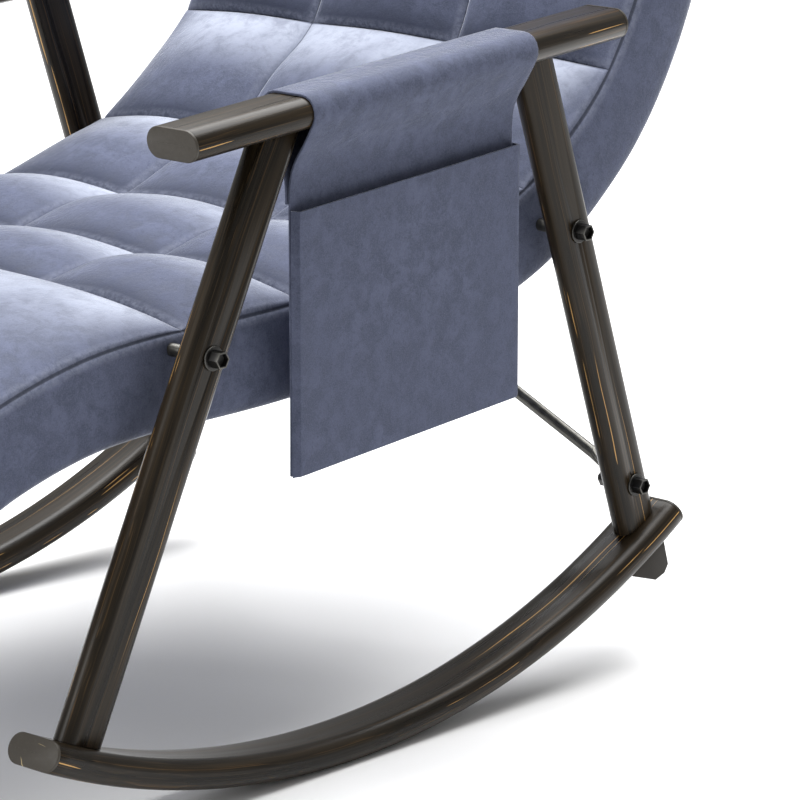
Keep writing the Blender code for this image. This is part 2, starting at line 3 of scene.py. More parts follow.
import bmesh
import bpy
import numpy as np
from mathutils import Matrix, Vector


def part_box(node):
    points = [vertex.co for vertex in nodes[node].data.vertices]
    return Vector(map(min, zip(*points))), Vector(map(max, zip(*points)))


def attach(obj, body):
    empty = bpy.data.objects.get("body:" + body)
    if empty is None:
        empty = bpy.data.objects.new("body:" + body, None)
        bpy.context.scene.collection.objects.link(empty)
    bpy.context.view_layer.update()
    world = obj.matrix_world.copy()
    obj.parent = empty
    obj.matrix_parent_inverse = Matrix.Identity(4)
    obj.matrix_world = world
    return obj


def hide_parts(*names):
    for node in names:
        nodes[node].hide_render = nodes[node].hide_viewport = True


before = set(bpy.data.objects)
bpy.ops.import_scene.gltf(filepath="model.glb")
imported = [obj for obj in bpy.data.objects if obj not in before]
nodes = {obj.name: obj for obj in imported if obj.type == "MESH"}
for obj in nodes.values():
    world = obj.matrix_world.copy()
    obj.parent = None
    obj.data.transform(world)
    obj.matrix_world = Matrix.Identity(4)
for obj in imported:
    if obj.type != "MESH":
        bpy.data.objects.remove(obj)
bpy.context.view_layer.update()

bpy.context.scene.view_settings.view_transform = "Standard"


# ---- Rockers, armrests and legs ----------------------------------------------------------------
# Flat oval steel tube, powder coated and wrapped in a dark ebony print with thin golden grain.
# The rockers are rolled to one radius; the legs are coped to the rocker below and the armrest
# above and welded there.
RAIL_WIDE, RAIL_HIGH = 0.056, 0.026
ROCKER_RADIUS = 0.823           # of the tube's centre line
TUBE_EDGE = 0.0005              # rounding where the tube was sawn off


def start_fresh():
    """Nothing selected, nothing in edit mode."""
    if bpy.context.object and bpy.context.object.mode != "OBJECT":
        bpy.ops.object.mode_set(mode="OBJECT")
    bpy.ops.object.select_all(action="DESELECT")


def only(obj):
    """This piece alone selected and active."""
    start_fresh()
    obj.select_set(True)
    bpy.context.view_layer.objects.active = obj
    return obj


def apply_all(obj):
    only(obj)
    for modifier in list(obj.modifiers):
        bpy.ops.object.modifier_apply(modifier=modifier.name)


def smooth(obj, degrees=35):
    only(obj)
    bpy.ops.object.shade_smooth_by_angle(angle=math.radians(degrees))


def oval_face(name, at, along):
    """A flat face the shape of the tube's section, square to the direction along, in edit mode."""
    start_fresh()
    tilt = math.atan2(-along.y, along.z)
    bpy.ops.mesh.primitive_plane_add(size=1, location=at, rotation=(tilt, 0, 0))
    obj = bpy.context.object
    obj.name = obj.data.name = name
    obj.scale = (RAIL_WIDE, RAIL_HIGH, 1)
    bpy.ops.object.transform_apply(location=True, rotation=True, scale=True)
    bpy.ops.object.mode_set(mode="EDIT")
    bpy.ops.mesh.select_all(action="SELECT")
    # A hair under half the height, so that the corners' arcs never meet.
    bpy.ops.mesh.bevel(affect="VERTICES", offset=RAIL_HIGH / 2 - 0.00002, segments=10)
    bpy.ops.mesh.select_all(action="SELECT")
    return obj


def push_out(along, length):
    """Draw the selected face out into a bar."""
    bpy.ops.mesh.extrude_region_move(TRANSFORM_OT_translate={"value": along * length})
    bpy.ops.mesh.select_all(action="SELECT")
    bpy.ops.mesh.normals_make_consistent(inside=False)
    bpy.ops.object.mode_set(mode="OBJECT")


def soften(obj, width, degrees=40, segments=2):
    """Break the sharp edges, as a press or a file leaves them."""
    step = obj.modifiers.new("edge", "BEVEL")
    step.width, step.segments, step.angle_limit = width, segments, math.radians(degrees)
    apply_all(obj)


def lay_grain(obj, place):
    """Keep each point's distance along, across and through the tube for the print to follow."""
    layer = obj.data.attributes.new("grain", "FLOAT_VECTOR", "POINT")
    spots = [place(v.co) for v in obj.data.vertices]
    layer.data.foreach_set("vector", np.array(spots, np.float32).ravel())


def new_material(name):
    mat = bpy.data.materials.new(name)
    mat.use_nodes = True
    return mat, mat.node_tree, mat.node_tree.nodes["Principled BSDF"]


def add(tree, kind, settings=None, **inputs):
    """A node with its settings and its inputs, each input a value or another node's socket."""
    made = tree.nodes.new(kind)
    for name, value in (settings or {}).items():
        setattr(made, name, value)
    for name, value in inputs.items():
        socket = made.inputs[int(name[1:])] if name[1:].isdigit() else made.inputs[name.replace("_", " ")]
        if isinstance(value, bpy.types.NodeSocket):
            tree.links.new(value, socket)
        else:
            socket.default_value = value
    return made


def cloud(tree, vector, scale, detail=3.0, roughness=0.55, distortion=0.0):
    return add(tree, "ShaderNodeTexNoise", None, Vector=vector, Scale=scale, Detail=detail,
               Roughness=roughness, Distortion=distortion).outputs["Fac"]


def stretch(tree, vector, scale, location=(0, 0, 0)):
    return add(tree, "ShaderNodeMapping", None, Vector=vector, Scale=scale,
               Location=location).outputs["Vector"]


def ease(tree, value, low, high, to_low=0.0, to_high=1.0):
    """Value between low and high, turned smoothly into a value between two others."""
    return add(tree, "ShaderNodeMapRange", {"interpolation_type": "SMOOTHSTEP"}, Value=value,
               From_Min=low, From_Max=high, To_Min=to_low, To_Max=to_high).outputs["Result"]


def maths(tree, operation, a, b=0.0):
    return add(tree, "ShaderNodeMath", {"operation": operation}, _0=a, _1=b).outputs["Value"]


def blend_colour(tree, share, first, second):
    made = add(tree, "ShaderNodeMix", {"data_type": "RGBA"}, _0=share)
    for socket, value in ((made.inputs[6], first), (made.inputs[7], second)):
        if isinstance(value, bpy.types.NodeSocket):
            tree.links.new(value, socket)
        else:
            socket.default_value = (*value, 1) if len(value) == 3 else value
    return made.outputs[2]


def raise_surface(tree, shader, height, distance, strength=1.0):
    made = add(tree, "ShaderNodeBump", None, Height=height, Distance=distance, Strength=strength)
    tree.links.new(made.outputs["Normal"], shader.inputs["Normal"])


def ebony_print():
    """Broad dark bands under fine grain, all following the tube's length and swaying a little."""
    mat, tree, shader = new_material("ebony_print")
    grain = add(tree, "ShaderNodeAttribute", {"attribute_name": "grain"}).outputs["Vector"]
    sway = cloud(tree, stretch(tree, grain, (4, 9, 9)), 1.0, 2.0)
    bent = add(tree, "ShaderNodeVectorMath", {"operation": "MULTIPLY_ADD"}, _0=sway,
               _1=(0, 0.016, 0.0015), _2=grain).outputs["Vector"]
    soft = cloud(tree, stretch(tree, bent, (3.0, 130, 130), (2, 5, 8)), 1.0, 3.0)
    fine = cloud(tree, stretch(tree, bent, (9, 900, 900)), 1.0, 2.0)
    colour = blend_colour(tree, ease(tree, soft, 0.38, 0.66),
                          (0.0062, 0.0044, 0.0024), (0.0190, 0.0130, 0.0068))
    colour = blend_colour(tree, ease(tree, fine, 0.52, 0.70, 0.0, 0.6), colour, (0.034, 0.023, 0.012))
    # Fine tan lines everywhere, and a few long bright gold ones.
    tan = ease(tree, cloud(tree, stretch(tree, bent, (1.6, 640, 640), (4, 4, 4)), 1.0, 1.0), 0.62, 0.72)
    colour = blend_colour(tree, maths(tree, "MULTIPLY", tan, 0.6), colour, (0.085, 0.050, 0.021))
    gold = ease(tree, cloud(tree, stretch(tree, bent, (0.7, 560, 560), (9, 2, 6)), 1.0, 0.0), 0.775, 0.80)
    colour = blend_colour(tree, gold, colour, (0.50, 0.29, 0.10))
    tree.links.new(colour, shader.inputs["Base Color"])
    tree.links.new(ease(tree, soft, 0.3, 0.7, 0.26, 0.36), shader.inputs["Roughness"])
    shader.inputs["Specular IOR Level"].default_value = 0.20
    raise_surface(tree, shader, fine, 0.00010, 0.5)
    return mat


EBONY = ebony_print()


def copy_of(node, name):
    """A CAD piece's shape as one joined skin, to be worked on."""
    start_fresh()
    obj = bpy.data.objects.new(name, nodes[node].data.copy())
    obj.data.name = name
    bpy.context.scene.collection.objects.link(obj)
    only(obj)
    bpy.ops.object.mode_set(mode="EDIT")
    bpy.ops.mesh.select_all(action="SELECT")
    bpy.ops.mesh.remove_doubles(threshold=0.00001)
    bpy.ops.mesh.tris_convert_to_quads(face_threshold=0.02, shape_threshold=0.5)
    bpy.ops.object.mode_set(mode="OBJECT")
    return obj


def settle(obj, slot, mat, *stands_for):
    """Give a finished piece its material, hang it from the root body, and hide the CAD pieces it stands
    for.
    """
    obj.data.materials.clear()
    obj.data.materials.append(mat)
    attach(obj, "root")
    if stands_for:
        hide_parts(*stands_for)
    return obj


def far_point(node, way):
    """The CAD piece's furthest corner in one direction."""
    return max((v.co for v in nodes[node].data.vertices), key=lambda p: p.dot(way)).copy()


SIDES = (("left", 1), ("right", -1))
RIGHTWARD = Vector((1, 0, 0))
BACKWARD = Vector((0, 1, 0))
outer_radius = ROCKER_RADIUS + RAIL_HIGH / 2
tube_ends = {}
for side, sign in SIDES:
    low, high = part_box("rocker_" + side)
    toe = far_point("rocker_" + side, -BACKWARD)
    heel = far_point("rocker_" + side, BACKWARD)
    hub = Vector(((low.x + high.x) / 2, 0, low.z + outer_radius))
    hub.y = toe.y + math.sqrt(outer_radius ** 2 - (hub.z - toe.z) ** 2)
    first = math.atan2(toe.y - hub.y, hub.z - toe.z)
    last = math.atan2(heel.y - hub.y, hub.z - heel.z)

    def on_arc(angle):
        spot = hub + Vector((0, math.sin(angle), -math.cos(angle))) * ROCKER_RADIUS
        return spot, Vector((0, math.cos(angle), math.sin(angle)))

    start, along = on_arc(first)
    rocker = oval_face("rocker_tube_" + side, start, along)
    bpy.ops.mesh.spin(steps=72, angle=last - first, center=hub, axis=-RIGHTWARD)
    bpy.ops.mesh.select_all(action="SELECT")
    bpy.ops.mesh.normals_make_consistent(inside=False)
    bpy.ops.object.mode_set(mode="OBJECT")
    soften(rocker, TUBE_EDGE)
    smooth(rocker)
    # Every tube is cut from its own place in the print.
    lay_grain(rocker, lambda p: (ROCKER_RADIUS * math.atan2(p.y - hub.y, hub.z - p.z) + 3.1 * sign,
                                 p.x - hub.x, (p - hub).yz.length - ROCKER_RADIUS))
    settle(rocker, "grained_tube", EBONY, "rocker_" + side)
    tube_ends["rocker_front_cap_" + side] = (start, -along)
    tube_ends["rocker_rear_cap_" + side] = on_arc(last)

    low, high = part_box("armrest_" + side)
    arm_low = far_point("armrest_" + side, -BACKWARD)
    arm_high = far_point("armrest_" + side, BACKWARD)
    rise = math.atan2(high.z - low.z - RAIL_HIGH, high.y - low.y)
    level = Vector((0, math.cos(rise), math.sin(rise)))
    up = RIGHTWARD.cross(level)
    front = Vector((hub.x, arm_low.y, arm_low.z)) - up * (RAIL_HIGH / 2)
    back = Vector((hub.x, arm_high.y, arm_high.z)) + up * (RAIL_HIGH / 2)
    arm = oval_face("armrest_tube_" + side, front, level)
    push_out(level, (back - front).dot(level))
    soften(arm, TUBE_EDGE)
    smooth(arm)
    lay_grain(arm, lambda p: ((p - front).dot(level) + 1.7 * sign, p.x - hub.x, (p - front).dot(up)))
    settle(arm, "grained_tube", EBONY, "armrest_" + side)
    tube_ends["armrest_front_cap_" + side] = (front, -level)
    tube_ends["armrest_rear_cap_" + side] = (back, level)

    for place, print_start in (("front", 5), ("rear", 4)):
        node = "%s_leg_%s" % (place, side)
        leg = copy_of(node, "%s_leg_tube_%s" % (place, side))
        # The leg's direction is that of its long straight edges.
        runs = [leg.data.vertices[e.vertices[1]].co - leg.data.vertices[e.vertices[0]].co
                for e in leg.data.edges]
        runs = [run if run.z > 0 else -run for run in runs if run.length > 0.3]
        along = sum(runs, Vector()).normalized()
        across = RIGHTWARD.cross(along)
        soften(leg, 0.0003, 55, 1)
        smooth(leg)
        low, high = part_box(node)
        middle = (low + high) / 2
        lay_grain(leg, lambda p: ((p - middle).dot(along) + 2.3 * sign + print_start,
                                  (p - middle).dot(across), p.x - middle.x))
        settle(leg, "grained_tube", EBONY, node)


# ---- End caps ----------------------------------------------------------------------------------
# Moulded plugs pressed into the open ends of rockers and armrests. The plate is flush with the
# tube, has a small rounded rim, and is paler and greyer; the rockers' have a stray golden vein.
CAP_PLATE = 0.0027              # from the tube's end to the plate's face
CAP_GAP, CAP_RIM = 0.0002, 0.0009


def choose(kind, test):
    """In edit mode, select exactly the vertices, edges or faces that pass the test."""
    bpy.ops.mesh.select_mode(type={"verts": "VERT", "edges": "EDGE", "faces": "FACE"}[kind])
    bpy.ops.mesh.select_all(action="DESELECT")
    shape = bmesh.from_edit_mesh(bpy.context.object.data)
    for part in getattr(shape, kind):
        if test(part):
            part.select_set(True)
    shape.select_flush_mode()
    bmesh.update_edit_mesh(bpy.context.object.data)


def cap_plastic(name, vein_share):
    mat, tree, shader = new_material(name)
    place = add(tree, "ShaderNodeTexCoord").outputs["Object"]
    veins = cloud(tree, stretch(tree, place, (14, 55, 55), (3, 1, 4)), 1.0, 1.5, 0.5, 0.3)
    vein = ease(tree, maths(tree, "ABSOLUTE", maths(tree, "SUBTRACT", veins, 0.5)), 0.002, 0.006, 1, 0)
    patch = ease(tree, cloud(tree, place, 38, 1.0), 0.54, 0.60)
    body = blend_colour(tree, cloud(tree, place, 420, 4.0), (0.030, 0.025, 0.019), (0.046, 0.040, 0.031))
    veined = maths(tree, "MULTIPLY", maths(tree, "MULTIPLY", vein, patch), vein_share)
    colour = blend_colour(tree, veined, body, (0.42, 0.33, 0.18))
    tree.links.new(colour, shader.inputs["Base Color"])
    tree.links.new(ease(tree, cloud(tree, place, 160), 0.3, 0.7, 0.38, 0.50), shader.inputs["Roughness"])
    shader.inputs["Specular IOR Level"].default_value = 0.3
    raise_surface(tree, shader, cloud(tree, place, 900), 0.00006, 0.5)
    return mat


PLAIN_CAP = cap_plastic("cap_plastic", 0.0)
VEINED_CAP = cap_plastic("cap_plastic_veined", 1.0)
for node, (end, outward) in tube_ends.items():
    cap = oval_face(node.replace("_cap", "_cap_plate"), end + outward * CAP_GAP, outward)
    push_out(outward, CAP_PLATE - CAP_GAP)
    only(cap)
    bpy.ops.object.mode_set(mode="EDIT")
    rim = (end + outward * CAP_PLATE).dot(outward)
    choose("edges", lambda e: all(abs(v.co.dot(outward) - rim) < 1e-5 for v in e.verts))
    bpy.ops.mesh.bevel(offset=CAP_RIM, segments=4, affect="EDGES")
    bpy.ops.object.mode_set(mode="OBJECT")
    smooth(cap, 30)
    settle(cap, "end_cap", VEINED_CAP if node.startswith("rocker") else PLAIN_CAP, node)


# ---- Tip stops ---------------------------------------------------------------------------------
# Dark moulded wedges fixed under the tail of each rocker. They meet the floor and stop the
# chair before it goes over backwards.
def stop_rubber():
    mat, tree, shader = new_material("stop_rubber")
    place = add(tree, "ShaderNodeTexCoord").outputs["Object"]
    colour = blend_colour(tree, cloud(tree, place, 60, 4.0),
                          (0.010, 0.0085, 0.007), (0.030, 0.024, 0.018))
    tree.links.new(colour, shader.inputs["Base Color"])
    shader.inputs["Roughness"].default_value = 0.55
    shader.inputs["Specular IOR Level"].default_value = 0.2
    raise_surface(tree, shader, cloud(tree, place, 700), 0.00015, 0.6)
    return mat


STOP_RUBBER = stop_rubber()
for side, sign in SIDES:
    stop = copy_of("tip_stop_" + side, "tip_stop_block_" + side)
    soften(stop, 0.0016, 30, 3)
    smooth(stop, 50)
    settle(stop, "rubber", STOP_RUBBER, "tip_stop_" + side)


# ---- Bolts, nuts and spacers -------------------------------------------------------------------
# Black zinc-plated M8 flange bolts: a hexagon head with a hexagon socket, forged in one with a
# round flange. Two on each side hold the cushion's frame, and one holds the stay.
BOLT_FLAT, HEAD_HIGH = 0.013, 0.0115
FLANGE_RADIUS, FLANGE_THICK = 0.0102, 0.0018
SOCKET_FLAT, SOCKET_DEEP = 0.0100, 0.0045
SHANK_RADIUS = 0.0039
BORE_ROOM = 0.0004              # between a shank and the spacer round it


def black_plate():
    """Black zinc, rubbed a little paler on the edges."""
    mat, tree, shader = new_material("black_plate")
    place = add(tree, "ShaderNodeTexCoord").outputs["Object"]
    fine, broad = cloud(tree, place, 900, 4.0), cloud(tree, place, 90, 3.0)
    edge = add(tree, "ShaderNodeNewGeometry").outputs["Pointiness"]
    rub = maths(tree, "MULTIPLY", ease(tree, edge, 0.51, 0.58), ease(tree, broad, 0.3, 0.65, 0.5, 0.9))
    colour = blend_colour(tree, fine, (0.010, 0.010, 0.010), (0.024, 0.023, 0.022))
    tree.links.new(blend_colour(tree, rub, colour, (0.16, 0.155, 0.14)), shader.inputs["Base Color"])
    tree.links.new(ease(tree, broad, 0.3, 0.7, 0.28, 0.42), shader.inputs["Roughness"])
    shader.inputs["Metallic"].default_value = 0.75
    raise_surface(tree, shader, fine, 0.00005, 0.4)
    return mat


def round_bar(name, radius, length, middle, sides=48):
    """A bar lying along X."""
    start_fresh()
    bpy.ops.mesh.primitive_cylinder_add(vertices=sides, radius=radius, depth=length, location=middle,
                                        rotation=(0, math.pi / 2, 0))
    bar = bpy.context.object
    bar.name = bar.data.name = name
    bpy.ops.object.transform_apply(location=True, rotation=True, scale=True)
    return bar


def combine(obj, other, operation):
    """Join the other shape to the piece, or cut it away, and use it up."""
    only(obj)
    step = obj.modifiers.new("combine", "BOOLEAN")
    step.operation, step.solver, step.object = operation, "EXACT", other
    bpy.ops.object.modifier_apply(modifier=step.name)
    bpy.data.objects.remove(other, do_unlink=True)


BLACK_PLATE = black_plate()
for side, sign in SIDES:
    for place in ("front", "rear", "stay"):
        node = "%s_bolt_%s" % (place, side)
        low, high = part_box(node)
        centre = (low + high) / 2
        seat, tip = (high.x - HEAD_HIGH, low.x) if sign > 0 else (low.x + HEAD_HIGH, high.x)
        head = round_bar(node + "_head", BOLT_FLAT / math.sqrt(3), HEAD_HIGH,
                         Vector((seat + sign * HEAD_HIGH / 2, centre.y, centre.z)), 6)
        head_top = seat + sign * HEAD_HIGH
        only(head)
        bpy.ops.object.mode_set(mode="EDIT")
        choose("faces", lambda f: abs(f.calc_center_median().x - head_top) < 1e-5)
        bpy.ops.mesh.inset(thickness=(BOLT_FLAT - SOCKET_FLAT) / 2, depth=0)
        bpy.ops.mesh.extrude_region_move(TRANSFORM_OT_translate={"value": (-sign * SOCKET_DEEP, 0, 0)})
        bpy.ops.object.mode_set(mode="OBJECT")
        soften(head, 0.0003, 40, 2)
        flange = round_bar("flange", FLANGE_RADIUS, FLANGE_THICK,
                           Vector((seat + sign * FLANGE_THICK / 2, centre.y, centre.z)))
        soften(flange, 0.0007, 40, 3)
        shank = round_bar("shank", SHANK_RADIUS, abs(seat - tip),
                          Vector(((seat + tip) / 2, centre.y, centre.z)), 24)
        combine(head, flange, "UNION")
        combine(head, shank, "UNION")
        smooth(head)
        settle(head, "black_steel", BLACK_PLATE, node)

    for place in ("front", "rear"):
        node = "%s_spacer_%s" % (place, side)
        low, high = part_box(node)
        centre = (low + high) / 2
        sleeve = round_bar(node + "_sleeve", (high.z - low.z) / 2, high.x - low.x, centre, 40)
        combine(sleeve, round_bar("bore", SHANK_RADIUS + BORE_ROOM, 0.2, centre, 24), "DIFFERENCE")
        soften(sleeve, 0.0006)
        smooth(sleeve)
        settle(sleeve, "black_steel", BLACK_PLATE, node)

    nut = copy_of("stay_nut_" + side, "stay_nut_body_" + side)
    soften(nut, 0.0004, 35)
    smooth(nut)
    settle(nut, "black_steel", BLACK_PLATE, "stay_nut_" + side)


# ---- Crossed stays -----------------------------------------------------------------------------
# Two round steel stays, flattened at both ends and drilled, bolted to the rear legs below and
# screwed under the seat boards above. They cross behind the seat, pinched flat around one bolt.
for node in ("stay_left", "stay_right"):
    stay = copy_of(node, node + "_rod")
    soften(stay, 0.0006, 24)
    smooth(stay, 60)
    settle(stay, "black_steel", BLACK_PLATE, node)
for node in ("crossing_bolt", "crossing_nut", "stay_screw_left", "stay_screw_right"):
    screw = copy_of(node, node + "_turned")
    soften(screw, 0.0004, 40)
    smooth(screw, 40)
    settle(screw, "black_steel", BLACK_PLATE, node)


# ---- Frame inside the cushion ------------------------------------------------------------------
# Two shaped beech-faced boards joined by cross rails and rubber-cored webbing, with threaded
# insert nuts for the bolts. The cushion is pulled over it, so it only shows if that is removed.
def beech():
    mat, tree, shader = new_material("beech")
    place = add(tree, "ShaderNodeTexCoord").outputs["Object"]
    long = cloud(tree, stretch(tree, place, (60, 5, 60)), 1.0, 4.0, 0.6, 0.4)
    fleck = cloud(tree, stretch(tree, place, (900, 120, 900)), 1.0, 2.0)
    colour = blend_colour(tree, ease(tree, long, 0.3, 0.7), (0.43, 0.28, 0.15), (0.62, 0.45, 0.28))
    colour = blend_colour(tree, ease(tree, fleck, 0.55, 0.7, 0, 0.5), colour, (0.30, 0.17, 0.08))
    tree.links.new(colour, shader.inputs["Base Color"])
    tree.links.new(ease(tree, long, 0.3, 0.7, 0.5, 0.7), shader.inputs["Roughness"])
    raise_surface(tree, shader, fleck, 0.0002, 0.5)
    return mat


def web_cloth():
    mat, tree, shader = new_material("web_cloth")
    place = add(tree, "ShaderNodeTexCoord").outputs["Object"]
    rib = add(tree, "ShaderNodeTexWave", {"bands_direction": "X"}, Vector=place, Scale=260.0,
              Distortion=0.4).outputs["Fac"]
    pick_line = add(tree, "ShaderNodeTexWave", {"bands_direction": "Y"}, Vector=place, Scale=190.0,
                    Distortion=0.4).outputs["Fac"]
    weave = maths(tree, "MULTIPLY", rib, pick_line)
    tree.links.new(blend_colour(tree, weave, (0.020, 0.019, 0.018), (0.085, 0.080, 0.075)),
                   shader.inputs["Base Color"])
    shader.inputs["Roughness"].default_value = 0.85
    raise_surface(tree, shader, weave, 0.0004, 0.7)
    return mat


def zinc_plate():
    mat, tree, shader = new_material("zinc_plate")
    place = add(tree, "ShaderNodeTexCoord").outputs["Object"]
    bloom = cloud(tree, place, 300, 4.0)
    tree.links.new(blend_colour(tree, bloom, (0.42, 0.42, 0.40), (0.66, 0.67, 0.68)),
                   shader.inputs["Base Color"])
    tree.links.new(ease(tree, bloom, 0.3, 0.7, 0.28, 0.45), shader.inputs["Roughness"])
    shader.inputs["Metallic"].default_value = 1.0
    raise_surface(tree, shader, bloom, 0.00005, 0.4)
    return mat


BEECH = beech()
ZINC_PLATE = zinc_plate()
inner_finish = {"side_board": BEECH, "cross_rail": BEECH, "web_strap": web_cloth(),
                "front_insert": ZINC_PLATE, "rear_insert": ZINC_PLATE}
for node, obj in nodes.items():
    for start, mat in inner_finish.items():
        if node.startswith(start):
            obj.material_slots[0].material = mat


# ---- Cushion -----------------------------------------------------------------------------------
# One long seat-and-back cushion in short-pile velvet. The quilted face is sewn down in three
# columns of square cells, with one wide plain panel at the front lip, and is joined all round
# to a plain side band by a tight seam. Polyester fibre over foam fills each cell.
BAND = 0.083                    # edge seam to underside, square to the seat
HALF_WIDE = 0.265               # from the middle to the edge seam
COLUMN_SEAM = 0.089             # from the middle to each of the two long seams
FIRST_ROW_Y = -0.2488           # of the cross seam behind the front panel
ROW_STEPS = (0.139, 0.139, 0.148, 0.146, 0.144, 0.144)      # from each cross seam to the next
LIP = 0.0453                    # padding beyond the inner frame at both ends
MIDDLE_SWELL, OUTER_SWELL = 0.0205, 0.0240      # of a full cell, above its seams
VALLEY, VALLEY_BOW = 0.0110, 0.0030             # how far seams stand above the edge seam
RIDGE = 0.0075                  # swell of each row, so that its middle stands above its seams
ROLL_BASE, ROLL_SWELL = 0.015, 0.024            # front panel and head end
BAND_SWELL = 0.0035             # outward swell of the side band
UNDER_IN = 0.013                # how far the underside's edge lies in from the full width
FILL = 0.75                     # share of the full swell that the fibre gives each cell
MESH_STEP = 0.008
BOARD_GAP = 0.0004
SHARP_SEAM = 0.85
SEAM_SHADE = 0.03               # how far from a seam the painted shade and painted highlight reach


def velvet():
    """Crushed short pile, with painted highlights over the cells' crowns and beside the seams, and
    painted shade at the cells' feet and in the seams.
    """
    mat, tree, shader = new_material("slate_velvet")
    place = add(tree, "ShaderNodeTexCoord").outputs["Object"]
    drift = cloud(tree, place, 11.0, 3.0, 0.55, 0.6)
    crushed = cloud(tree, place, 55.0, 6.0, 0.68, 0.35)
    speck = cloud(tree, place, 210.0, 4.0, 0.75)
    pile = cloud(tree, place, 900.0, 2.0, 0.6)
    colour = blend_colour(tree, ease(tree, crushed, 0.36, 0.66),
                          (0.053, 0.062, 0.098), (0.092, 0.104, 0.160))
    colour = blend_colour(tree, ease(tree, drift, 0.32, 0.68, 0.0, 0.5), colour, (0.064, 0.073, 0.115))
    colour = blend_colour(tree, ease(tree, speck, 0.50, 0.72, 0.0, 0.45), colour, (0.038, 0.044, 0.072))
    colour = blend_colour(tree, ease(tree, pile, 0.35, 0.75, 0.0, 0.30), colour, (0.150, 0.165, 0.230))
    # Painted highlight over each cell's crown, painted shade at each cell's foot and in the seams, and a
    # painted highlight beside them, all read from two attributes.
    painted_cell_light = add(tree, "ShaderNodeAttribute", {"attribute_name": "painted_cell_light"}).outputs["Fac"]
    seam_near = add(tree, "ShaderNodeAttribute", {"attribute_name": "seam_near"}).outputs["Fac"]
    # Painted highlight over the crowns, broken up by the pile's mottling.
    cell_highlight = maths(tree, "MULTIPLY", ease(tree, painted_cell_light, 0.0, 0.9),
                ease(tree, crushed, 0.25, 0.60, 0.55, 1.0))
    cell_highlight = maths(tree, "MULTIPLY", cell_highlight, ease(tree, drift, 0.30, 0.60, 0.70, 1.0))
    colour = blend_colour(tree, maths(tree, "MULTIPLY", cell_highlight, 0.90), colour, (0.375, 0.405, 0.490))
    # Painted shade at each cell's foot.
    colour = blend_colour(tree, ease(tree, painted_cell_light, -0.9, 0.10, 0.85, 0.0), colour, (0.026, 0.031, 0.052))
    # Painted highlight beside the seams.
    rim = maths(tree, "MULTIPLY", ease(tree, seam_near, 0.70, 0.90),
                ease(tree, speck, 0.35, 0.65, 0.10, 0.35))
    colour = blend_colour(tree, rim, colour, (0.250, 0.270, 0.350))
    # Painted shade in the seams.
    colour = blend_colour(tree, ease(tree, seam_near, 0.950, 0.978, 0.0, 0.7), colour,
                          (0.016, 0.019, 0.030))
    tree.links.new(colour, shader.inputs["Base Color"])
    tree.links.new(ease(tree, crushed, 0.3, 0.7, 0.70, 0.92), shader.inputs["Roughness"])
    shader.inputs["Specular IOR Level"].default_value = 0.18
    shader.inputs["Sheen Weight"].default_value = 1.0
    shader.inputs["Sheen Roughness"].default_value = 0.24
    shader.inputs["Sheen Tint"].default_value = (0.90, 0.93, 1.0, 1)
    nap = maths(tree, "ADD", maths(tree, "MULTIPLY", speck, 0.8), maths(tree, "MULTIPLY", crushed, 1.8))
    nap = maths(tree, "ADD", nap, maths(tree, "MULTIPLY", pile, 0.25))
    raise_surface(tree, shader, nap, 0.0012, 0.45)
    return mat


VELVET = velvet()

# The boards' long curve, read from the cover that is stapled under them.
probe = copy_of("under_cover", "probe")
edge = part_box("under_cover")[1].x
spots = sorted(((v.co.y, v.co.z) for v in probe.data.vertices if v.co.x > edge - 0.0001), key=sum)
bpy.data.objects.remove(probe, do_unlink=True)
knots = []
for a, b in np.array(spots).reshape(-1, 2, 2):
    lift = (b - a) / np.linalg.norm(b - a)
    foot, lift = (a, lift) if lift[1] > lift[0] else (b, -lift)
    knots.append(foot + lift * BAND)
knots = np.array(knots)


def beyond(near, inner):
    """One more point, a lip's width past the last."""
    return near + (near - inner) / np.linalg.norm(near - inner) * LIP


knots = np.vstack([beyond(knots[0], knots[1]), knots, beyond(knots[-1], knots[-2])])


def flowing(p, steps=10):
    """Smooth curve through the points."""
    p = np.vstack([2 * p[0] - p[1], p, 2 * p[-1] - p[-2]])
    t = np.linspace(0, 1, steps, endpoint=False)[:, None]
    rows = [0.5 * (2 * b + (c - a) * t + (2 * a - 5 * b + 4 * c - d) * t ** 2
                   + (3 * b - a - 3 * c + d) * t ** 3) for a, b, c, d in zip(p, p[1:], p[2:], p[3:])]
    return np.vstack(rows + [p[-2:-1]])


seam = flowing(knots)
reach = np.concatenate([[0], np.cumsum(np.linalg.norm(np.diff(seam, axis=0), axis=1))])
length = reach[-1]


def on_seam(s):
    """Points on the edge seam at distances s, and the ways square to the seat and along it."""
    def at(t):
        return np.stack([np.interp(t, reach, seam[:, k]) for k in (0, 1)], axis=-1)
    ahead, behind = at(np.minimum(s + 0.02, length)), at(np.maximum(s - 0.02, 0))
    along = (ahead - behind) / np.linalg.norm(ahead - behind, axis=-1, keepdims=True)
    return at(s), np.stack([-along[..., 1], along[..., 0]], axis=-1), along


rows = [float(np.interp(FIRST_ROW_Y, seam[:, 0], reach))]
for step in ROW_STEPS:
    rows.append(rows[-1] + step)


def sewn_lines(marks):
    """Mesh lines that fall exactly on the marks, close together beside each."""
    lines = [marks[0]]
    for a, b in zip(marks, marks[1:]):
        near = [0, 0.0025, 0.0065] if b - a > 0.05 else [0]
        count = max(3, round((b - a - 2 * near[-1]) / MESH_STEP) + 1)
        middle = np.linspace(a + near[-1], b - near[-1], count)
        lines += [a + n for n in near[1:-1]] + list(middle[1 if near[-1] == 0 else 0:])
        lines += [b - n for n in near[-2::-1]] if near[-1] else []
    return np.array(lines)


line_x = sewn_lines([-HALF_WIDE, -COLUMN_SEAM, COLUMN_SEAM, HALF_WIDE])
line_s = sewn_lines([0, LIP] + rows + [length - LIP, length])

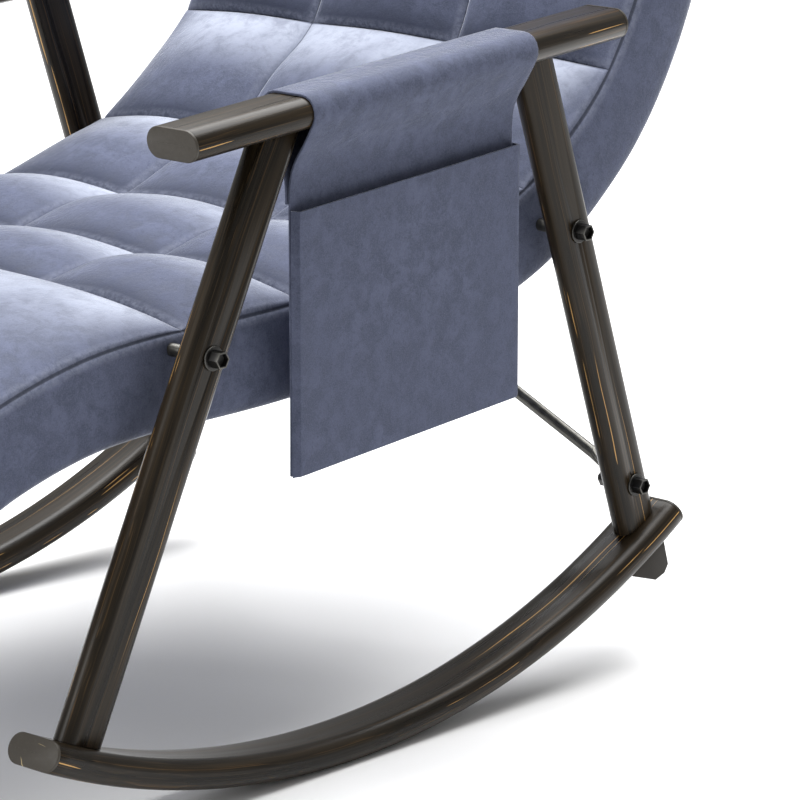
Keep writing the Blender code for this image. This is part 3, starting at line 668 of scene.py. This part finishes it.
# The side band's mesh lines: their depth under the edge seam, and how far each lies in from the
# full width, with a notch at the seam and a round lower edge.
BAND_DEPTHS = np.array([0, 0.0022, 0.006, 0.012, 0.021, 0.031, 0.042, 0.053, 0.064, 0.072, 0.0785, BAND])
NARROWING = np.array([0.0030, 0.0004, 0, 0, 0, 0, 0, 0, 0.0002, 0.0016, 0.0052, UNDER_IN])


def cell_at(s):
    """Which cell each distance falls in, and how far through it, 0 to 1."""
    marks = np.array([0.0] + rows + [length])
    cell = np.clip(np.searchsorted(marks, s, side="right") - 1, 0, len(rows))
    return cell, (s - marks[cell]) / (marks[cell + 1] - marks[cell])


def plain_roll(share, t, fill):
    """Height of the unquilted panel, with t running from the open end to its one cross seam."""
    base = ROLL_BASE * (1 - share ** 3) * (0.35 + 0.65 * t)
    swell = (1 - t ** 7).clip(0) ** 0.6 * (1 - (1 - t) ** 9).clip(0) ** 0.7
    return base + (0.55 + 0.45 * fill) * ROLL_SWELL * (1 - share ** 4).clip(0) ** 0.55 * swell


def quilted(x, s, fill):
    """Height of the sewn face above the edge seam."""
    share = np.abs(x) / HALF_WIDE
    inner = np.abs(x) < COLUMN_SEAM
    u = np.where(inner, (x / COLUMN_SEAM + 1) / 2,
                 (np.abs(x) - COLUMN_SEAM) / (HALF_WIDE - COLUMN_SEAM))
    cell, t = cell_at(s)
    swell_u = (4 * u * (1 - u)).clip(0) ** 0.50
    swell_t = (4 * t * (1 - t)).clip(0) ** 0.45
    valley = VALLEY * (1 - share ** 3) + VALLEY_BOW * np.sin(np.pi * u) ** 2 * (1 - share ** 4)
    ridge = RIDGE * np.sin(np.pi * t) ** 2 * (1 - share ** 4)
    swell = np.where(inner, MIDDLE_SWELL, OUTER_SWELL) * swell_u * swell_t
    cells = valley + ridge + fill * swell
    front, head = plain_roll(share, t, fill), plain_roll(share, 1 - t, fill)
    return np.where(cell == 0, front, np.where(cell == len(rows), head, cells))


start_fresh()
columns, lengths, depths = len(line_x) - 1, len(line_s) - 1, len(BAND_DEPTHS) - 1
bpy.ops.mesh.primitive_grid_add(x_subdivisions=columns, y_subdivisions=lengths, size=1)
cushion = bpy.context.object
cushion.name = cushion.data.name = "tufted_cushion"
bpy.ops.object.mode_set(mode="EDIT")
bpy.ops.mesh.select_all(action="SELECT")
for step in range(depths):
    bpy.ops.mesh.extrude_region_move(TRANSFORM_OT_translate={"value": (0, 0, -1)})
bpy.ops.mesh.select_all(action="SELECT")
bpy.ops.mesh.normals_make_consistent(inside=False)
bpy.ops.object.mode_set(mode="OBJECT")
count = len(cushion.data.vertices)
raw = np.zeros(count * 3)
cushion.data.vertices.foreach_get("co", raw)
raw = raw.reshape(-1, 3)
col = np.rint((raw[:, 0] + 0.5) * columns).astype(int)
row = np.rint((raw[:, 1] + 0.5) * lengths).astype(int)
deep = np.rint(-raw[:, 2]).astype(int)

# Underside: solid at both ends, hollowed between them for the boards and the webbing.
board_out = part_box("side_board_left")[1].x + BOARD_GAP
board_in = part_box("side_board_left")[0].x - BOARD_GAP
BOARD_TOP, WEB_TOP = 0.0039, -0.0335        # heights above the edge seam
hollow_side_x = np.array([HALF_WIDE - UNDER_IN, board_out, board_out, board_in, board_in])
hollow_side_h = np.array([-BAND, -BAND, BOARD_TOP, BOARD_TOP, WEB_TOP])
between = columns + 1 - 2 * len(hollow_side_x)
hollow_x = np.concatenate([-hollow_side_x, np.linspace(-board_in + 0.006, board_in - 0.006, between),
                           hollow_side_x[::-1]])
hollow_h = np.concatenate([hollow_side_h, np.full(between, WEB_TOP), hollow_side_h[::-1]])
x, s = line_x[col], line_s[row]
height = -BAND_DEPTHS[deep]
top = deep == 0
inset = NARROWING[deep]
end_way = np.where(row == 0, -1, 0) + np.where(row == lengths, 1, 0)
swell_band = BAND_SWELL * np.sin(np.pi * np.clip(BAND_DEPTHS[deep] / BAND, 0, 1))
side_edge = (col == 0) | (col == columns)
x = np.where(~top & (deep < depths) & side_edge, np.sign(x) * (HALF_WIDE - inset + swell_band), x)
x = np.where(top & side_edge, np.sign(x) * (HALF_WIDE - NARROWING[0]), x)
out_end = np.where(~top, end_way * (swell_band * 2 - inset * 0.8), 0)
under = deep == depths
held = under & (line_s[row] > LIP - 0.001) & (line_s[row] < length - LIP + 0.001)
# The rows beside the hollow are drawn close to it, so that its ends stand upright.
first_held, last_held = int(row[held].min()), int(row[held].max())
s = np.where(under & (row == first_held - 1), LIP - BOARD_GAP, s)
s = np.where(under & (row == last_held + 1), length - LIP + BOARD_GAP, s)
x = np.where(under, np.clip(x, -HALF_WIDE + UNDER_IN, HALF_WIDE - UNDER_IN), x)
x = np.where(held, hollow_x[col], x)
height = np.where(held, hollow_h[col], height)


def shaped(fill):
    """Every point's place, with the cells filled to a share of their full swell."""
    lift = np.where(top, quilted(line_x[col], s, fill), height)
    foot, up, along = on_seam(s)
    place = foot + up * lift[:, None] + along * out_end[:, None]
    return np.column_stack([x, place])


# Where the needle goes through the quilted face.
row_marks = [int(np.argmin(abs(line_s - r))) for r in rows]
column_marks = [int(np.argmin(abs(abs(line_x - c)))) for c in (-COLUMN_SEAM, COLUMN_SEAM)]
on_row = top & np.isin(row, row_marks)
on_column = top & np.isin(col, column_marks) & (row >= row_marks[0]) & (row <= row_marks[-1])

cushion.data.vertices.foreach_set("co", shaped(FILL).ravel())
cushion.data.update()

# The seams and the hollow's rim stay sharp when the cover is refined.
pairs = np.zeros(len(cushion.data.edges) * 2, int)
cushion.data.edges.foreach_get("vertices", pairs)
a, b = pairs.reshape(-1, 2).T
same_row, same_column = row[a] == row[b], col[a] == col[b]
seam_edge = ((on_row[a] & on_row[b] & same_row) | (on_column[a] & on_column[b] & same_column)
             | (top[a] & top[b] & side_edge[a] & side_edge[b]))
rim_columns = [1, 2, 3, 4, columns - 4, columns - 3, columns - 2, columns - 1]
rim_rows = [first_held - 1, first_held, last_held, last_held + 1]
rim_edge = under[a] & under[b] & ((held[a] & held[b] & same_column & np.isin(col[a], rim_columns))
                                  | (same_row & np.isin(row[a], rim_rows)))
crease = cushion.data.attributes.new("crease_edge", "FLOAT", "EDGE")
sharpness = np.where(rim_edge, 1.0, np.where(seam_edge, SHARP_SEAM, 0.0))
crease.data.foreach_set("value", sharpness.astype(np.float32))

# How near each point is to a seam, and how high on its cell, for the velvet's painted highlights and
# painted shade.
row_gap = np.min(np.abs(line_s[row][:, None] - np.array(rows)), axis=1)
column_gap = np.where((row >= row_marks[0]) & (row <= row_marks[-1]),
                      np.abs(np.abs(line_x[col]) - COLUMN_SEAM), 1)
edge_gap = np.minimum(HALF_WIDE - np.abs(line_x[col]), np.minimum(line_s[row], length - line_s[row]))
gap = np.where(top, np.minimum(np.minimum(row_gap, column_gap) + 0.0006, edge_gap), BAND_DEPTHS[deep])
cell, t = cell_at(line_s[row])
# Painted shade at the foot of each cell, rising to a painted highlight towards its far seam, weaker at
# the side edges and towards the front lip.
rise = np.where(t < 0.3, -((1 - t / 0.3).clip(0) ** 1.5), ((t - 0.3) / 0.7).clip(0) ** 1.1)
fade = (1 - (np.abs(line_x[col]) / HALF_WIDE) ** 10) * np.where(cell == 0, t, 1)
for name, values in (("seam_near", 1 - gap / SEAM_SHADE), ("painted_cell_light", np.where(top, rise * fade, 0))):
    layer = cushion.data.attributes.new(name, "FLOAT", "POINT")
    layer.data.foreach_set("value", np.clip(values, -1, 1).astype(np.float32))
refine = cushion.modifiers.new("refine", "SUBSURF")
refine.levels = refine.render_levels = 1
apply_all(cushion)
smooth(cushion, 60)
settle(cushion, "velvet", VELVET, "lounge_cushion")


# ---- Under cover -------------------------------------------------------------------------------
# A single velvet panel pulled tight over the underside of the boards and stapled along both long
# edges. It closes the back of the chair.
under_panel = copy_of("under_cover", "under_panel")
soften(under_panel, 0.0008, 40)
smooth(under_panel, 30)
settle(under_panel, "velvet", VELVET, "under_cover")
low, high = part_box("under_cover")


# ---- Organiser ---------------------------------------------------------------------------------
# A velvet panel laid over the left armrest between its legs. A short flap hangs inside; the long
# side hangs outside with one full-width pocket sewn to it along both sides and the bottom.
CLOTH = 0.0022
HANG_OUT = 0.0005               # from the tube's middle plane to the hanging panel's
FLAP_DROP = 0.0765              # inner flap, and where the outer side begins to hang straight
SLACK = 0.0004                  # between the tube and the cloth over it
RIPPLE = 0.0007
POCKET_CLOTH = 0.0020
GUSSET = 0.0022                 # how sharply the pocket turns back to the panel
HEM = 0.011
arm_front, arm_forward = tube_ends["armrest_front_cap_left"]
organ_low, organ_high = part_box("organiser_drape")
pocket_low, pocket_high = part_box("organiser_pocket")


def arm_z(y):
    """Height of the armrest's middle line."""
    return arm_front.z + (y - arm_front.y) * arm_forward.z / arm_forward.y


# The panel's path over the tube, as distances out from and up from the tube's middle line.
foot_drop = arm_z(organ_low.y) - organ_low.z
wrap = RAIL_HIGH / 2 + SLACK + CLOTH / 2
bend = (RAIL_WIDE - RAIL_HIGH) / 2
angles = [math.radians(a) for a in range(90, -31, -15)]
outer = [(bend + wrap * math.cos(a), wrap * math.sin(a)) for a in angles]
outer += [(0.0165, -0.0260), (0.0080, -0.0385), (0.0030, -0.0500), (0.0008, -0.0620),
          (HANG_OUT, -FLAP_DROP)]
hang = [(HANG_OUT, -d) for d in np.linspace(FLAP_DROP + 0.03, foot_drop, 8)]
inner = [(-a - 0.0028 * min(1, max(0, -b - 0.012) / 0.03), b) for a, b in outer]
path = flowing(np.array(inner[::-1] + outer + hang), 8)
path_reach = np.concatenate([[0], np.cumsum(np.linalg.norm(np.diff(path, axis=0), axis=1))])
drape_length, drape_width = float(path_reach[-1]), organ_high.y - organ_low.y


def sheet_grid(name, across, along):
    """A flat grid, and how far across and along it each point lies, 0 to 1."""
    start_fresh()
    bpy.ops.mesh.primitive_grid_add(x_subdivisions=across, y_subdivisions=along, size=1)
    obj = bpy.context.object
    obj.name = obj.data.name = name
    raw = np.zeros(len(obj.data.vertices) * 3)
    obj.data.vertices.foreach_get("co", raw)
    raw = raw.reshape(-1, 3)
    return obj, raw[:, 0] + 0.5, raw[:, 1] + 0.5


def place_points(obj, points):
    obj.data.vertices.foreach_set("co", np.ascontiguousarray(points, np.float32).ravel())
    obj.data.update()


def thicken(obj, thick):
    """Give a sheet its thickness and a folded, rounded edge."""
    step = obj.modifiers.new("cloth", "SOLIDIFY")
    step.thickness, step.offset = thick, 0
    step = obj.modifiers.new("rim", "BEVEL")
    step.width, step.segments, step.angle_limit = 0.0007, 2, math.radians(50)
    apply_all(obj)
    only(obj)
    bpy.ops.object.mode_set(mode="EDIT")
    bpy.ops.mesh.select_all(action="SELECT")
    bpy.ops.mesh.normals_make_consistent(inside=False)
    bpy.ops.object.mode_set(mode="OBJECT")
    smooth(obj, 40)


drape, u, v = sheet_grid("organiser_panel", 40, 90)
run = v * drape_length
y = organ_low.y + u * drape_width
out, drop = (np.interp(run, path_reach, path[:, k]) for k in (0, 1))
loose = np.clip((-drop - 0.05) / 0.20, 0, 1) * (run > drape_length / 3)
out = out + loose * RIPPLE * np.sin(y * 43 + 1.2) * np.sin(run * 21)
place_points(drape, np.column_stack([arm_front.x + out, y, arm_z(y) + drop]))
thicken(drape, CLOTH)
settle(drape, "velvet", VELVET, "organiser_drape")

# The pocket stands off the panel by its gusset and is open at the top under a folded hem.
pocket_drop = arm_z(pocket_high.y) - pocket_high.z
pocket_tall = foot_drop - pocket_drop
pocket_in = arm_front.x + HANG_OUT + CLOTH / 2 + POCKET_CLOTH / 2
pocket_out = pocket_high.x - POCKET_CLOTH / 2 - 0.0006
pocket, u, v = sheet_grid("organiser_pocket_panel", 60, 60)


def crowded(t):
    """More mesh lines near both ends."""
    return 0.5 - 0.5 * np.cos(np.pi * t) * (0.55 + 0.45 * np.abs(np.cos(np.pi * t)) ** 4)


across, down = crowded(u) * drape_width, crowded(v) * pocket_tall
from_edge = np.minimum(np.minimum(across, drape_width - across), pocket_tall - down)
turned_in = np.clip(from_edge / GUSSET, 0, 1)
turned_in = turned_in * turned_in * (3 - 2 * turned_in)
hem = np.where(down < HEM, 0.0005, 0.0) - 0.0004 * np.exp(-((down - HEM) / 0.0012) ** 2)
belly = 0.0008 * np.sin(np.pi * across / drape_width) * np.exp(-down / 0.06)
out = pocket_in + (pocket_out - pocket_in) * turned_in + (hem + belly) * turned_in
y = organ_low.y + across
place_points(pocket, np.column_stack([out, y, arm_z(y) - pocket_drop - down]))
thicken(pocket, POCKET_CLOTH)
settle(pocket, "velvet", VELVET, "organiser_pocket")


# ---- Studio ------------------------------------------------------------------------------------
# Plain pale floor that meets a pale surround, one broad soft light overhead and behind, and a
# gentle upright one at the front.
start_fresh()
bpy.ops.mesh.primitive_plane_add(size=60, location=(0, 0, -0.0005))
floor = bpy.context.object
floor.name = "studio_floor"
floor_mat, floor_tree, floor_shader = new_material("studio_floor")
floor_place = add(floor_tree, "ShaderNodeTexCoord").outputs["Object"]
paint = blend_colour(floor_tree, cloud(floor_tree, floor_place, 3.0),
                     (0.86, 0.86, 0.86), (0.88, 0.88, 0.88))
floor_tree.links.new(paint, floor_shader.inputs["Base Color"])
floor_shader.inputs["Roughness"].default_value = 0.8
floor.data.materials.append(floor_mat)

world = bpy.data.worlds.new("studio_air")
bpy.context.scene.world = world
world.use_nodes = True
air = world.node_tree.nodes["Background"]
air.inputs["Color"].default_value = (1.0, 1.0, 1.0, 1)
air.inputs["Strength"].default_value = 0.46


def soft_light(name, size, power, at, toward):
    data = bpy.data.lights.new(name, "AREA")
    data.shape, data.size, data.size_y, data.energy = "RECTANGLE", size[0], size[1], power
    lamp = bpy.data.objects.new(name, data)
    bpy.context.scene.collection.objects.link(lamp)
    lamp.location = at
    lamp.rotation_euler = (Vector(toward) - Vector(at)).to_track_quat("-Z", "Y").to_euler()


soft_light("overhead", (4.5, 4.5), 560, (-0.7, 1.2, 4.2), (-0.5, 0.9, 0))
soft_light("window", (1.0, 2.2), 45, (-0.8, -3.2, 1.7), (0, 0, 0.40))

camera_data = bpy.data.cameras.new("camera")
camera = bpy.data.objects.new("camera", camera_data)
bpy.context.scene.collection.objects.link(camera)
camera.location = (2.6776, -2.6378, 1.1549)
camera.rotation_euler = (math.radians(76.42), 0, math.radians(42.36))
camera_data.sensor_width = 36
camera_data.lens = 195.7
camera_data.shift_x, camera_data.shift_y = -0.0007, -0.0141
bpy.context.scene.camera = camera
